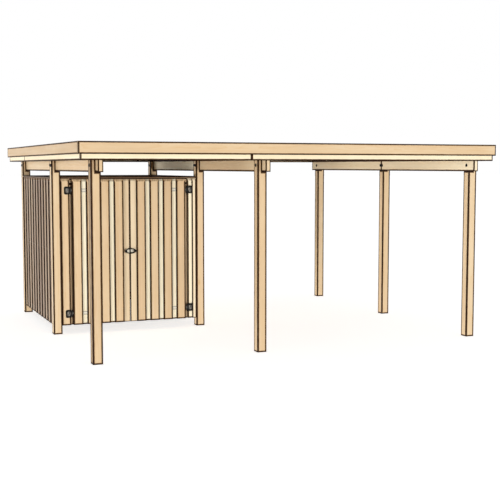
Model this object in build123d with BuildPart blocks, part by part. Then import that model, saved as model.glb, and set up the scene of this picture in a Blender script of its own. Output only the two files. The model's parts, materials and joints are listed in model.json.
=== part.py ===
"""A flat-roofed timber carport with a boarded shed in its back left bay.

Nine square posts stand in a grid of three rows by three frames. In each frame a beam runs from
front to back in a notch at the post tops. Rafters lie across the beams and carry a boarded deck
with its covering, edged by a stepped pair of fascia boards. The shed closes the back left bay,
with a pair of ledged doors facing the front.

Millimetres. X runs along the front to the right, Y runs to the back, Z is up, and the origin is
on the ground under the middle of the roof.
"""
from build123d import *
import os

# Post grid, from post centre to post centre
post_size = 120.0
side_bay_width = 2070.0
car_bay_width = 3060.0
bay_depth = 2275.0
post_round = 3.0

# Roof timbers
beam_width = 60.0
beam_height = 160.0
beam_underside = 2233.0
beam_end_gap = 2.0
rafter_width = 45.0
rafter_height = 145.0
rafter_count = 7
deck_thickness = 20.0
covering_thickness = 4.0

# Roof edge, measured outwards from the post centres
side_overhang = 240.0
end_overhang = 235.0
fascia_thickness = 28.0
outer_fascia_height = 145.0
outer_fascia_lip = 22.0
inner_fascia_drop = 23.0

# Shed walls
wall_bottom = 115.0
gap_over_wall = 75.0
cap_thickness = 28.0
cap_overhang = 15.0
board_thickness = 20.0
cladding_setback = 16.5
rail_depth = 45.0
rail_height = 70.0
rail_foot = 50.0

# Doorway
strip_width = 124.0
hinge_gap = 36.0
stop_lap = 20.0
stop_clearance = 6.0
meeting_gap = 6.0
meeting_rebate = 90.0
door_top_gap = 8.0
narrow_board_width = 57.0
ledge_thickness = 25.0
ledge_height = 95.0
ledge_edge_gap = 60.0
brace_width = 80.0

# Hinges
hinge_from_top = 160.0
hinge_from_bottom = 159.0
plate_width = 84.0
plate_height = 110.0
plate_thickness = 4.0
knuckle_radius = 8.0
pin_radius = 4.0
pin_clearance = 0.2
knuckle_gap = 1.0
strap_height = 45.0
strap_length = 250.0
strap_clearance = 5.0

# Pull on each door
pull_height_above_ground = 1117.0
pull_half_width = 83.0
pull_height = 78.0
pull_bar = 16.0
pull_thickness = 8.0
pull_stand_off = 34.0
pull_foot_radius = 6.0

# Places worked out from the sizes above
half_post = post_size / 2
frame_x_left = -(side_bay_width + car_bay_width) / 2
frame_x_middle = frame_x_left + side_bay_width
frame_x_right = frame_x_middle + car_bay_width
row_y_front = -bay_depth
row_y_middle = 0.0
row_y_back = bay_depth
beam_top = beam_underside + beam_height
rafter_top = beam_top + rafter_height
deck_top = rafter_top + deck_thickness
covering_top = deck_top + covering_thickness
outer_x = frame_x_right + side_overhang
outer_y = row_y_back + end_overhang
step_x = outer_x - fascia_thickness
step_y = outer_y - fascia_thickness
inner_x = step_x - fascia_thickness
inner_y = step_y - fascia_thickness
outer_fascia_top = covering_top + outer_fascia_lip
outer_fascia_bottom = outer_fascia_top - outer_fascia_height
inner_fascia_bottom = beam_top - inner_fascia_drop

FRAMES = {"left": (frame_x_left, 1), "middle": (frame_x_middle, 1), "right": (frame_x_right, -1)}
ROWS = {"front": row_y_front, "middle": row_y_middle, "back": row_y_back}

os.makedirs("parts", exist_ok=True)


def block(x_range, y_range, z_range, mode=Mode.ADD):
    """Adds or cuts a straight block inside the part that is being built."""
    low_x, high_x = sorted(x_range)
    low_y, high_y = sorted(y_range)
    low_z, high_z = sorted(z_range)
    with BuildSketch(Plane.XY.offset(low_z)) as outline:
        with Locations(((low_x + high_x) / 2, (low_y + high_y) / 2)):
            Rectangle(high_x - low_x, high_y - low_y)
    extrude(outline.sketch, amount=high_z - low_z, mode=mode)


def keep(piece, name):
    """Names a finished piece and writes it to its own file."""
    piece.label = name
    export_step(piece, f"parts/{name}.step")


# Posts, notched at the top on the side where the beam lies
for row_name, row_y in ROWS.items():
    for frame_name, (frame_x, beam_side) in FRAMES.items():
        with BuildPart() as post:
            with BuildSketch():
                with Locations((frame_x, row_y)):
                    Rectangle(post_size, post_size)
            extrude(amount=beam_top)
            fillet(post.edges().filter_by(Axis.Z), post_round)
            notch_x = (frame_x + beam_side * half_post, frame_x + beam_side * (half_post - beam_width))
            block(notch_x, (row_y - half_post, row_y + half_post), (beam_underside, beam_top), Mode.SUBTRACT)
        keep(post.part, f"post_{row_name}_{frame_name}")

# Beams, in two lengths a frame that meet at the middle post
beam_end_y = inner_y - beam_end_gap
for frame_name, (frame_x, beam_side) in FRAMES.items():
    beam_x = (frame_x + beam_side * half_post, frame_x + beam_side * (half_post - beam_width))
    for length_name, beam_y in (("front", (-beam_end_y, row_y_middle)), ("back", (row_y_middle, beam_end_y))):
        with BuildPart() as beam:
            block(beam_x, beam_y, (beam_underside, beam_top))
        keep(beam.part, f"beam_{frame_name}_{length_name}")

# Rafters, from side to side on top of the beams
rafter_first_y = -inner_y + rafter_width / 2
rafter_pitch = (2 * inner_y - rafter_width) / (rafter_count - 1)
for number in range(rafter_count):
    rafter_y = rafter_first_y + number * rafter_pitch
    rafter_sides = (rafter_y - rafter_width / 2, rafter_y + rafter_width / 2)
    with BuildPart() as rafter:
        block((-inner_x, inner_x), rafter_sides, (beam_top, rafter_top))
    keep(rafter.part, f"rafter_{number + 1}")

# Roof deck and its covering, inside the outer fascia
with BuildPart() as roof_deck:
    block((-step_x, step_x), (-step_y, step_y), (rafter_top, deck_top))
keep(roof_deck.part, "roof_deck")

with BuildPart() as roof_covering:
    block((-step_x, step_x), (-step_y, step_y), (deck_top, covering_top))
keep(roof_covering.part, "roof_covering")

# Inner fascia boards on the rafter ends and the end rafters
inner_fascia_z = (inner_fascia_bottom, rafter_top)
for end_name, end_side in (("front", -1), ("back", 1)):
    with BuildPart() as inner_fascia_end:
        block((-step_x, step_x), (end_side * inner_y, end_side * step_y), inner_fascia_z)
    keep(inner_fascia_end.part, f"inner_fascia_{end_name}")
for side_name, side in (("left", -1), ("right", 1)):
    with BuildPart() as inner_fascia_side:
        block((side * inner_x, side * step_x), (-inner_y, inner_y), inner_fascia_z)
    keep(inner_fascia_side.part, f"inner_fascia_{side_name}")

# Outer fascia boards, which stand higher and hide the edge of the covering
outer_fascia_z = (outer_fascia_bottom, outer_fascia_top)
for end_name, end_side in (("front", -1), ("back", 1)):
    with BuildPart() as outer_fascia_end:
        block((-outer_x, outer_x), (end_side * step_y, end_side * outer_y), outer_fascia_z)
    keep(outer_fascia_end.part, f"outer_fascia_{end_name}")
for side_name, side in (("left", -1), ("right", 1)):
    with BuildPart() as outer_fascia_side:
        block((side * step_x, side * outer_x), (-step_y, step_y), outer_fascia_z)
    keep(outer_fascia_side.part, f"outer_fascia_{side_name}")

# Shed walls: the two layers of boards as one slab, with a cap on top and three rails behind
wall_top = beam_underside - gap_over_wall
cap_bottom = wall_top - cap_thickness
cap_z = (cap_bottom, wall_top)
cladding_z = (wall_bottom, cap_bottom)
cladding_face = half_post - cladding_setback
cladding_back = cladding_face - 2 * board_thickness
rail_back = cladding_back - rail_depth
cap_face = cladding_face + cap_overhang
rail_top_z = cap_bottom - rail_height
rail_bottom_z = wall_bottom + rail_foot
rail_levels = (rail_bottom_z, (rail_bottom_z + rail_top_z) / 2, rail_top_z)
shed_x = (frame_x_left + half_post, frame_x_middle - half_post)
shed_y = (row_y_middle + half_post, row_y_back - half_post)

for wall_name, frame_x, outward in (("left", frame_x_left, -1), ("right", frame_x_middle, 1)):
    with BuildPart() as side_wall:
        block((frame_x + outward * cladding_face, frame_x + outward * cladding_back), shed_y, cladding_z)
        block((frame_x + outward * cap_face, frame_x + outward * rail_back), shed_y, cap_z)
        rail_x = (frame_x + outward * cladding_back, frame_x + outward * rail_back)
        for level in rail_levels:
            block(rail_x, shed_y, (level, level + rail_height))
    keep(side_wall.part, f"shed_{wall_name}_wall")

with BuildPart() as shed_back_wall:
    block(shed_x, (row_y_back + cladding_face, row_y_back + cladding_back), cladding_z)
    block(shed_x, (row_y_back + cap_face, row_y_back + rail_back), cap_z)
    for level in rail_levels:
        block(shed_x, (row_y_back + cladding_back, row_y_back + rail_back), (level, level + rail_height))
keep(shed_back_wall.part, "shed_back_wall")

# Doorway: a head rail under its cap, and beside the doors a stud with a fixed strip of boards
front_y = row_y_middle - cladding_face
front_back_y = row_y_middle - cladding_back
stop_y = front_back_y + stop_clearance
front_rail_y = row_y_middle - rail_back
door_edge_offset = strip_width + hinge_gap
stud_width = door_edge_offset + stop_lap
hinge_z = (cap_bottom - hinge_from_top, wall_bottom + hinge_from_bottom)

with BuildPart() as door_head:
    block(shed_x, (stop_y, front_rail_y), (rail_top_z, cap_bottom))
    block(shed_x, (row_y_middle - cap_face, front_rail_y), cap_z)
keep(door_head.part, "door_head")

with BuildPart() as door_jamb_left:
    jamb_x = shed_x[0]
    block((jamb_x, jamb_x + stud_width), (stop_y, front_rail_y), (wall_bottom, rail_top_z))
    block((jamb_x, jamb_x + strip_width), (front_y, stop_y), cladding_z)
keep(door_jamb_left.part, "door_jamb_left")

with BuildPart() as door_jamb_right:
    jamb_x = shed_x[1]
    lower_y = front_y + board_thickness
    block((jamb_x - stud_width, jamb_x), (stop_y, front_rail_y), (wall_bottom, rail_top_z))
    block((jamb_x - strip_width, jamb_x), (lower_y, stop_y), cladding_z)
    block((jamb_x - narrow_board_width, jamb_x), (front_y, lower_y), cladding_z)
    for level in hinge_z:
        pad_z = (level - plate_height / 2, level + plate_height / 2)
        block((jamb_x - strip_width, jamb_x - narrow_board_width), (front_y, lower_y), pad_z)
keep(door_jamb_right.part, "door_jamb_right")

# Doors, hinges and pulls, drawn for the left side and mirrored for the right
doorway_centre_x = (shed_x[0] + shed_x[1]) / 2
leaf_edge_x = shed_x[0] + door_edge_offset
leaf_free_x = doorway_centre_x - meeting_gap / 2
axis_x = leaf_edge_x - hinge_gap / 2
axis_y = front_y - plate_thickness / 2
seat_y = front_y + board_thickness
leaf_z = (wall_bottom, cap_bottom - door_top_gap)
ledge_x = (shed_x[0] + stud_width + stop_clearance, leaf_free_x - ledge_edge_gap)
ledge_y = (front_back_y, front_back_y + ledge_thickness)
ledge_low_z = hinge_z[1] - ledge_height / 2
ledge_high_z = hinge_z[0] - ledge_height / 2
ledge_middle_z = (ledge_low_z + ledge_high_z) / 2
knuckle_length = (plate_height - 2 * knuckle_gap) / 3


def keep_pair(left_piece, left_name, right_name):
    """Keeps a left piece, and the same piece mirrored over the middle of the doorway."""
    keep(left_piece, left_name)
    with BuildPart() as right_piece:
        mirror(left_piece, about=Plane.YZ.offset(doorway_centre_x))
    keep(right_piece.part, right_name)


def upright_cylinder(radius, bottom, height, mode=Mode.ADD):
    """Adds or cuts a cylinder on the hinge axis of the left door."""
    with BuildSketch(Plane.XY.offset(bottom)) as outline:
        with Locations((axis_x, axis_y)):
            Circle(radius)
    extrude(outline.sketch, amount=height, mode=mode)


with BuildPart() as door_left:
    block((leaf_edge_x, leaf_free_x), (seat_y, front_back_y), leaf_z)
    block((leaf_edge_x, leaf_free_x - meeting_rebate), (front_y, seat_y), leaf_z)
    for level in hinge_z:
        slot_z = (level - strap_height / 2 - strap_clearance, level + strap_height / 2 + strap_clearance)
        slot_x = (leaf_edge_x, axis_x + strap_length + strap_clearance)
        block(slot_x, (front_y, seat_y), slot_z, Mode.SUBTRACT)
    for level in (ledge_low_z, ledge_middle_z, ledge_high_z):
        block(ledge_x, ledge_y, (level, level + ledge_height))
    for brace_bottom, brace_top in ((ledge_low_z, ledge_middle_z), (ledge_middle_z, ledge_high_z)):
        with BuildSketch(Plane.XZ.offset(-ledge_y[1])):
            with BuildLine():
                Polyline(
                    (ledge_x[0], brace_bottom + ledge_height),
                    (ledge_x[0] + brace_width, brace_bottom + ledge_height),
                    (ledge_x[1], brace_top),
                    (ledge_x[1] - brace_width, brace_top),
                    close=True,
                )
            make_face()
        extrude(amount=ledge_thickness)
keep_pair(door_left.part, "door_left", "door_right")

# Hinge plates on the fixed strips, each with its two outer knuckles and the pin
with BuildPart() as hinge_plates_left:
    for level in hinge_z:
        plate_bottom = level - plate_height / 2
        plate_x = (axis_x - knuckle_radius - plate_width, axis_x)
        block(plate_x, (front_y - plate_thickness, front_y), (plate_bottom, plate_bottom + plate_height))
        upright_cylinder(knuckle_radius, plate_bottom, plate_height)
        room = knuckle_radius + knuckle_gap
        half_gap = knuckle_length / 2 + knuckle_gap
        room_x = (axis_x - room, axis_x + room)
        block(room_x, (axis_y - room, axis_y + room), (level - half_gap, level + half_gap), Mode.SUBTRACT)
        upright_cylinder(pin_radius, plate_bottom, plate_height)
keep_pair(hinge_plates_left.part, "hinge_plates_left", "hinge_plates_right")

# Hinge straps, let in under the outer boards of each door
crank_x = axis_x + knuckle_radius
strap_y = (seat_y - plate_thickness, seat_y)
with BuildPart() as hinge_straps_left:
    for level in hinge_z:
        knuckle_bottom = level - knuckle_length / 2
        knuckle_z = (knuckle_bottom, knuckle_bottom + knuckle_length)
        strap_z = (level - strap_height / 2, level + strap_height / 2)
        upright_cylinder(knuckle_radius, knuckle_bottom, knuckle_length)
        block((crank_x - plate_thickness, crank_x), (axis_y, seat_y), knuckle_z)
        block((crank_x - plate_thickness, leaf_edge_x), strap_y, knuckle_z)
        block((leaf_edge_x, axis_x + strap_length), strap_y, strap_z)
        upright_cylinder(pin_radius + pin_clearance, knuckle_bottom, knuckle_length, Mode.SUBTRACT)
keep_pair(hinge_straps_left.part, "hinge_straps_left", "hinge_straps_right")

# Pulls: half an oval loop on two feet, beside the free edge of each door
with BuildPart() as door_pull_left:
    with BuildSketch(Plane.XZ.offset(pull_stand_off - seat_y)):
        with Locations((doorway_centre_x, pull_height_above_ground)):
            Ellipse(pull_half_width, pull_height / 2)
            Ellipse(pull_half_width - pull_bar, pull_height / 2 - pull_bar, mode=Mode.SUBTRACT)
            with Locations((pull_half_width - meeting_gap / 2, 0)):
                Rectangle(2 * pull_half_width, pull_height, mode=Mode.SUBTRACT)
    extrude(amount=pull_thickness)
    foot_x = leaf_free_x - pull_bar
    foot_rise = (pull_height - pull_bar) / 2
    upper_foot = (foot_x, pull_height_above_ground + foot_rise)
    lower_foot = (foot_x, pull_height_above_ground - foot_rise)
    with BuildSketch(Plane.XZ.offset(-seat_y)):
        with Locations(upper_foot, lower_foot):
            Circle(pull_foot_radius)
    extrude(amount=pull_stand_off)
keep_pair(door_pull_left.part, "door_pull_left", "door_pull_right")
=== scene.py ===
"""Looks of a flat-roofed timber carport with a boarded shed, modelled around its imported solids."""

import json
import math
import random

import bmesh
import bpy
from bpy.props import FloatProperty, FloatVectorProperty, IntProperty, PointerProperty
from mathutils import Matrix, Vector


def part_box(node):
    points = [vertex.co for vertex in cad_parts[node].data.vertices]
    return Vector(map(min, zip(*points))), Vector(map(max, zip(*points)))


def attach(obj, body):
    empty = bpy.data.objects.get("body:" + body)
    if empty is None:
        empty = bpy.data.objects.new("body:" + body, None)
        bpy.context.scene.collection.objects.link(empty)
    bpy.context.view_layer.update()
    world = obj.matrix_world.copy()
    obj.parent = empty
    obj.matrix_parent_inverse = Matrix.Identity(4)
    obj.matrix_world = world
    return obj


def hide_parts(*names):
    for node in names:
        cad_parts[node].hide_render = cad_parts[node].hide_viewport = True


bl_info = {
    "name": "Timber carport with shed",
    "version": (1, 0, 0),
    "blender": (4, 5, 0),
    "location": "3D View > Sidebar > Carport",
    "description": "Builds the timbers, boards, ironwork and roof sheet of a carport with a shed",
    "category": "Add Mesh",
}

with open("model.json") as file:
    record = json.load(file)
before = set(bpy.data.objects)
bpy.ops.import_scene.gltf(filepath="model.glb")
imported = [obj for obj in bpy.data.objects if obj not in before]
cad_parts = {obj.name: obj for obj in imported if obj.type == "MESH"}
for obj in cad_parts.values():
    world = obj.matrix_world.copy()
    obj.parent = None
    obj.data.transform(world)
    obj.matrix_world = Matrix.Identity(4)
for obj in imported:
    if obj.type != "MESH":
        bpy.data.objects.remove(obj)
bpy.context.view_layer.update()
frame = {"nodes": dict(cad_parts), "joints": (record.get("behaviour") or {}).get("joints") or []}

X, Y, Z = 0, 1, 2
FRAMES = ("left", "middle", "right")
ROWS = ("front", "middle", "back")
HINGES = {joint["name"]: Vector(joint["pos_m"]) for joint in frame["joints"]}

# Share of the painted shade on the left side of the front left post
POST_SIDE_SHADE = 0.27
# Share of the painted shadow of the caps on the top ends of the shed's boards
CAP_SHADOW_SHARE = 0.26
# Tones of the pine, from -1 for the darkest brown over 0 for beige to 1 for cream; several of them are
# painted light and shade
TONES = {
    # beam_middle, beam_right and most of all beam_middle_back are paler as painted light against the shade
    # under the roof
    "post": 0.04, "beam_left": 0.06, "beam_middle": 0.25, "beam_middle_back": 0.95, "beam_right": 0.65,
    # roof_timber is darker as painted shade under the roof; outer_fascia_left is darker as painted shade that
    # offsets the left lamp; inner_fascia is paler, partly as painted light against the shade under the outer
    # fascias
    "roof_timber": -0.35, "outer_fascia": 0.0, "outer_fascia_left": -0.15, "inner_fascia": 0.72,
    # left_wall is darker as painted shade on the side wall; inner_board is paler, partly as painted light
    # against the shade between the outer boards
    "cap": -0.9, "rail": 0.1, "left_wall": -0.80, "outer_board": 0.0, "inner_board": 0.7,
    # right_strip is paler, partly as painted light against the shade behind the outer boards
    "stud": 0.0, "left_strip": 0.0, "left_under_strip": 0.3, "right_strip": 0.9, "right_narrow_board": 0.5,
    # door_inner_board is paler, partly as painted light against the shade between the door's outer boards
    "hinge_pad": 0.3, "door_board": 0.02, "door_inner_board": 0.95, "meeting_board": 0.30, "ledge": 0.1,
}

# Joinery of the doors and boards, in metres
SCREW_INSET = 0.030
SCREW_HEAD = 0.0016
LEDGE_SCREW_RISE = 0.032
MEETING_REBATE = 0.090
MEETING_LAP = 0.035
MEETING_BAND = 0.010
LEDGE_OUTER_GAP = 0.026
LEDGE_INNER_GAP = 0.060
DOOR_BOARDS = 4

# Roof deck and covering, in metres
DECK_BAND = 0.004
LAP_THICKNESS = 0.003
LAP_BED = 0.001
BEAD_WIDTH = 0.012
BEAD_HEIGHT = 0.008

# Hinges, in metres
KNUCKLE_GAP = 0.001
PIN_RADIUS = 0.004
PLATE_CORNER = 0.022
PLATE_BAND = 0.033
PLATE_BOLT_RADIUS = 0.007
PLATE_BOLT_HEAD = 0.004
PLATE_BOLT_RISE = 0.032
PLATE_BOLT_OUTER_INSET = 0.020
PLATE_BOLT_INNER_INSET = 0.030
STRAP_CORNER = 0.012
STRAP_BAND = 0.008
STRAP_NECK_BAND = 0.005

# Door pulls, in metres, with the lug as shares of the bar's width
PULL_THICKNESS = 0.008
PULL_FOOT_RADIUS = 0.005
PULL_ROSE_RADIUS = 0.009
PULL_ROSE_THICKNESS = 0.003
PULL_POST_RADIUS = 0.006
LUG_PLACE = 1.2
LUG_RADIUS = 0.9
DISH_THICKNESS = 0.003
DISH_BAND = 0.009

# Beam bolts, in metres
BOLT_OFFSET = 0.026
WASHER_THICKNESS = 0.003
WASHER_STAND = 0.001
BOLT_HEAD_THICKNESS = 0.009
BOLT_HEAD_STAND = 0.006

# Stage, with the lamps' headings in degrees
LAMP_HEADINGS = {"front": 20, "left": -62, "right": 110, "back": 200}
LAMP_SOFTNESS = math.radians(30)
SENSOR_WIDTH = 36.0
FARTHEST_VIEW = 1000.0
WHITE = (1.0, 1.0, 1.0, 1.0)


def length(name, description, default):
    """A setting in metres."""
    return FloatProperty(
        name=name, description=description, default=default, subtype="DISTANCE", unit="LENGTH")


def angle(name, description, default):
    """A setting that is an angle."""
    return FloatProperty(
        name=name, description=description, default=default, subtype="ANGLE", unit="ROTATION")


def strength(name, description, default):
    """A setting with no unit."""
    return FloatProperty(name=name, description=description, default=default)


def colour(name, description, default):
    """A colour setting."""
    return FloatVectorProperty(
        name=name, description=description, default=default, subtype="COLOR", size=3, min=0, max=1)


class CarportTimberSizes(bpy.types.PropertyGroup):
    """Sizes of the timbers and boards."""
    arris_round: length("Arris round", "Radius of the rounded timber edges", 0.003)
    # The dark band beside each edge is weathering, and also painted shade beside the gaps between boards
    arris_band: length("Arris band", "Width of the dark weathered band beside each timber edge", 0.024)
    fascia_band: length("Fascia band", "Width of the dark band beside the edges of the fascias", 0.020)
    # Narrow faces, the sides of the boards in the gaps among them, are dark all over as painted shade
    plain_edge: length("Plain edge", "Widest face that is dark all over, as the edges are", 0.018)
    # Painted shadow of the cap, laid as brown on the top ends of the boards
    damp_top: length("Damp top", "Height of the brown damp end grain under the caps of the shed", 0.045)
    cap_weathering: length("Cap weathering", "Height of the black weathered top of the caps", 0.019)
    # Painted shade: a near-black band along the bottom of the lower fascias, standing in for the shaded
    # underside of the roof
    drip_edge: length(
        "Drip edge", "Height of the dark wet edge along the bottom of the lower fascias", 0.016)
    strip_board: length("Strip board", "Width of the fixed strips of boards beside the doors", 0.124)
    narrow_board: length("Narrow board", "Width of the narrow outer board on the right fixed strip", 0.057)
    stud_clearance: length("Stud clearance", "Clear depth between the boards and the door studs", 0.006)
    wall_board: length("Wall board", "Width of the boards on the shed", 0.135)
    wall_board_gap: length("Wall board gap", "Clear width between two outer boards of the shed", 0.061)
    wall_board_thickness: length("Wall board thickness", "Thickness of each layer of boards", 0.020)
    rail_height: length("Rail height", "Height of the rails behind the wall boards", 0.070)
    rail_foot: length("Rail foot", "Height of the lowest rail above the bottom of the boards", 0.050)
    cap_thickness: length("Cap thickness", "Thickness of the cap on the shed walls", 0.028)
    cap_overhang: length("Cap overhang", "How far the cap stands out over the wall boards", 0.015)
    deck_board: length("Deck board", "Width of the roof deck boards", 0.121)
    fascia_joint: length("Fascia joint", "Place of the butt joint along the front lower fascia", -0.693)
    side_fascia_joint: length(
        "Side fascia joint", "Place of the butt joint along the side lower fascias", 1.139)


class CarportFittingSizes(bpy.types.PropertyGroup):
    """Sizes of the hinges, bolts, screws, doors and roof sheet."""
    plate_height: length("Hinge plate height", "Height of a hinge plate", 0.110)
    plate_thickness: length("Hinge plate thickness", "Thickness of the hinge iron", 0.004)
    knuckle_radius: length("Knuckle radius", "Radius of the hinge knuckles", 0.008)
    strap_height: length("Strap height", "Height of a hinge strap", 0.045)
    ledge_height: length("Ledge height", "Height of the ledges on the back of a door", 0.095)
    brace_width: length("Brace width", "Width of the braces on the back of a door", 0.080)
    pull_bar: length("Pull bar", "Width of the bar of a door pull", 0.016)
    bolt_radius: length("Bolt head radius", "Corner radius of the beam bolt heads", 0.013)
    washer_radius: length("Washer radius", "Radius of the washers of the beam bolts", 0.023)
    screw_radius: length("Screw head radius", "Radius of the screw heads in the boards", 0.0045)
    sheet_count: IntProperty(
        name="Roof sheets", description="Number of sheets that cover the roof", default=6, min=2, max=12)
    sheet_seam: length("Sheet seam", "Width of the black seam beside the edges of a lap", 0.024)
    sheet_lap: length("Sheet lap", "Width of the lap between two roof sheets", 0.080)


class CarportColours(bpy.types.PropertyGroup):
    """Colours of the finishes."""
    pine_cream: colour("Cream pine", "Colour of the palest boards", (1.0, 0.935, 0.72))
    pine_beige: colour("Beige pine", "Colour of the posts, beams and outer boards", (0.70, 0.523, 0.325))
    # The darkest tone, used for the dark caps and as painted shade on the left wall and the roof timbers
    pine_shade: colour("Weathered pine", "Colour of the most weathered boards", (0.235, 0.16, 0.11))
    # The fringe and edge colours are weathering of the arrises, and also painted shade on board sides and
    # beside the gaps
    pine_fringe: colour(
        "Pine fringe", "Colour of the brown band beside the timber edges", (0.115, 0.058, 0.024))
    pine_edge: colour("Pine edge", "Colour of the dark timber edges", (0.012, 0.005, 0.003))
    roof_sheet: colour("Roof sheet", "Colour of the roof sheet", (0.055, 0.055, 0.058))
    black_iron: colour("Black iron", "Colour of the hinges, pulls and bolts", (0.009, 0.008, 0.007))
    zinc: colour(
        "Zinc", "Colour of the bright middle of the hinge straps and of the screws", (0.80, 0.74, 0.60))


class CarportStageSettings(bpy.types.PropertyGroup):
    """Camera, lamps and floor."""
    camera_place: FloatVectorProperty(
        name="Camera place", description="Where the camera stands",
        default=(-5.2901, -13.5989, 2.2991), subtype="TRANSLATION", size=3)
    camera_pitch: angle("Camera pitch", "How far the camera looks down", 0.0836)
    camera_heading: angle("Camera heading", "How far the camera is turned to the right", 0.3902)
    camera_lens: strength("Lens", "Focal length in millimetres", 71.893)
    world_strength: strength("Sky strength", "Strength of the even light from all sides", 0.34)
    front_strength: strength("Front lamp", "Strength of the low soft lamp at the front", 2.04)
    left_strength: strength("Left lamp", "Strength of the low soft lamp at the left", 2.12)
    right_strength: strength("Right lamp", "Strength of the low soft lamp at the right", 2.0)
    back_strength: strength("Back lamp", "Strength of the low soft lamp at the back", 2.0)
    lamp_height: angle(
        "Lamp height", "How high the lamps stand, below the floor's level where negative", math.radians(-6))
    floor_glow: strength(
        "Floor glow", "How much the floor is lifted towards white as the camera sees it", 0.74)
    floor_colour: colour("Floor", "Colour of the floor", (0.86, 0.86, 0.86))
    floor_size: length("Floor size", "Width of the floor", 400.0)


def wired(operation, swapped=False):
    """A Python operator that adds a Math node."""
    def apply(self, other):
        first, second = (other, self) if swapped else (self, other)
        return self.bench.sum(operation, first, second)
    return apply


class Wire:
    """A node's output that takes part in Python sums."""

    def __init__(self, bench, socket):
        self.bench = bench
        self.socket = socket

    def beside(self, output):
        """Another output of the same node."""
        return Wire(self.bench, self.socket.node.outputs[output])

    __add__, __radd__ = wired("ADD"), wired("ADD", True)
    __sub__, __rsub__ = wired("SUBTRACT"), wired("SUBTRACT", True)
    __mul__, __pow__ = wired("MULTIPLY"), wired("POWER")


class FinishBench:
    """Lays out the nodes of one material or of the world."""

    def __init__(self, tree):
        self.tree = tree
        self.tree.nodes.clear()

    def node(self, kind, inputs=None, output=0, **settings):
        """Adds a shader node, sets it up, joins its inputs and returns one of its outputs."""
        made = self.tree.nodes.new("ShaderNode" + kind)
        for name, value in settings.items():
            if name == "stops":
                for number, (place, colour) in enumerate(value):
                    ramp = made.color_ramp.elements
                    stop = ramp[number] if number < len(ramp) else ramp.new(place)
                    stop.position = place
                    stop.color = colour
            else:
                setattr(made, name, value)
        for name, value in (inputs or {}).items():
            if isinstance(value, Wire):
                self.tree.links.new(value.socket, made.inputs[name])
            else:
                made.inputs[name].default_value = value
        return Wire(self, made.outputs[output]) if made.outputs else made

    def sum(self, operation, first, second):
        """A Math node for two values."""
        return self.node("Math", {0: first, 1: second}, operation=operation)

    def attribute(self, name, output):
        """A value kept in the mesh."""
        return self.node("Attribute", output=output, attribute_name=name)

    def place(self):
        """The place on the object."""
        return self.node("TexCoord", output=3)

    def blend(self, share, first, second, blend_type="MIX"):
        """Two colours, the second one in that share."""
        inputs = {0: share, 6: first, 7: second}
        return self.node("Mix", inputs, 2, data_type="RGBA", blend_type=blend_type)

    def noise(self, place, scale=1.0, detail=2.0, roughness=0.5):
        """Soft noise between 0 and 1."""
        values = {"Vector": place, "Scale": scale, "Detail": detail, "Roughness": roughness}
        return self.node("TexNoise", values)

    def step(self, value, low, high):
        """Rises smoothly from 0 to 1 while the value goes from low to high."""
        values = {"Value": value, "From Min": low, "From Max": high}
        return self.node("MapRange", values, interpolation_type="SMOOTHSTEP")

    def finish(self, colour, roughness, height, depth, strength, constants):
        """The surface shader with its bump."""
        bump = self.node("Bump", {"Height": height, "Distance": depth, "Strength": strength})
        values = {"Base Color": colour, "Roughness": roughness, "Normal": bump, **constants}
        surface = self.node("BsdfPrincipled", values)
        self.node("OutputMaterial", {"Surface": surface})


def opaque(colour):
    """A colour with its alpha."""
    return (*colour, 1.0)


def new_finish(name):
    """An empty material and the bench to lay out its nodes."""
    material = bpy.data.materials.new(name)
    material.use_nodes = True
    return material, FinishBench(material.node_tree)


def add_object(name, data):
    """A new object in the scene."""
    made = bpy.data.objects.new(name, data)
    bpy.context.scene.collection.objects.link(made)
    return made


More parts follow.
